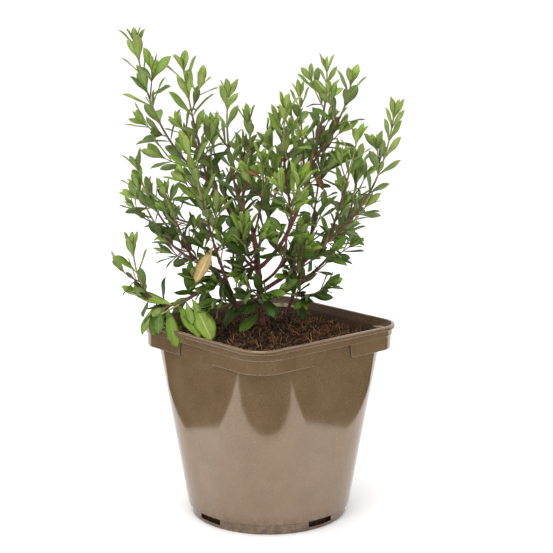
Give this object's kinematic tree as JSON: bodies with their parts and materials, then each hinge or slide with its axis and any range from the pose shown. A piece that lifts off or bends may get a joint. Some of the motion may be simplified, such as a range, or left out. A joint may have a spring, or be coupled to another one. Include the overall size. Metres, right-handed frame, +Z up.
{
  "type": "potted baby sage shrub",
  "caption": "Small twiggy sage shrub with upright leafy stems, standing in a square-topped tapering plastic nursery pot filled with peat mix.",
  "frame": {"origin": "middle of the flat underside of the pot", "axes": "+Z up through the pot and the crown, -Y towards the side that the plant is seen from, +X to the right from there"},
  "size_m": [0.2543, 0.2319, 0.4384],
  "materials": {
    "pot_plastic": "satin moulded recycled polypropylene, taupe",
    "potting_mix": "rough dark peat with fibres",
    "bark": "matt woody bark",
    "foliage": "soft green leaf"
  },
  "bodies": {
    "root": {"pot": "pot_plastic", "potting_mix": "potting_mix", "trunk": "bark", "bough_centre": "bark", "bough_dark": "bark", "bough_right": "bark", "stem_back_right": "bark", "bough_arch": "bark", "stem_front_left": "bark", "bough_left": "bark", "bough_tall_left": "bark", "bough_low_left": "bark", "bough_back": "bark", "bough_back_left": "bark", "bough_back_right": "bark", "leaves_top_left": "foliage", "leaves_left_spire": "foliage", "leaves_front_left": "foliage", "leaves_left_tip": "foliage", "leaves_left_inner": "foliage", "leaves_left_back": "foliage", "leaves_low_left": "foliage", "leaves_rim": "foliage", "leaves_centre_left": "foliage", "leaves_centre": "foliage", "leaves_front_centre": "foliage", "leaves_arch": "foliage", "leaves_spire_front": "foliage", "leaves_spire_back": "foliage", "leaves_top_right": "foliage", "leaves_right_spire": "foliage", "leaves_right_tip": "foliage", "leaves_right_inner": "foliage", "leaves_stem_back_right": "foliage", "leaves_inner_left": "foliage", "leaves_back": "foliage", "leaves_back_low": "foliage", "leaves_back_left": "foliage", "leaves_back_left_low": "foliage", "leaves_back_right": "foliage", "leaves_back_right_low": "foliage", "leaves_foot": "foliage", "leaves_inner_front": "foliage", "leaves_inner_right": "foliage", "leaves_inner_back": "foliage", "leaves_low_right": "foliage", "leaves_low_front": "foliage"}
  },
  "joints": []
}
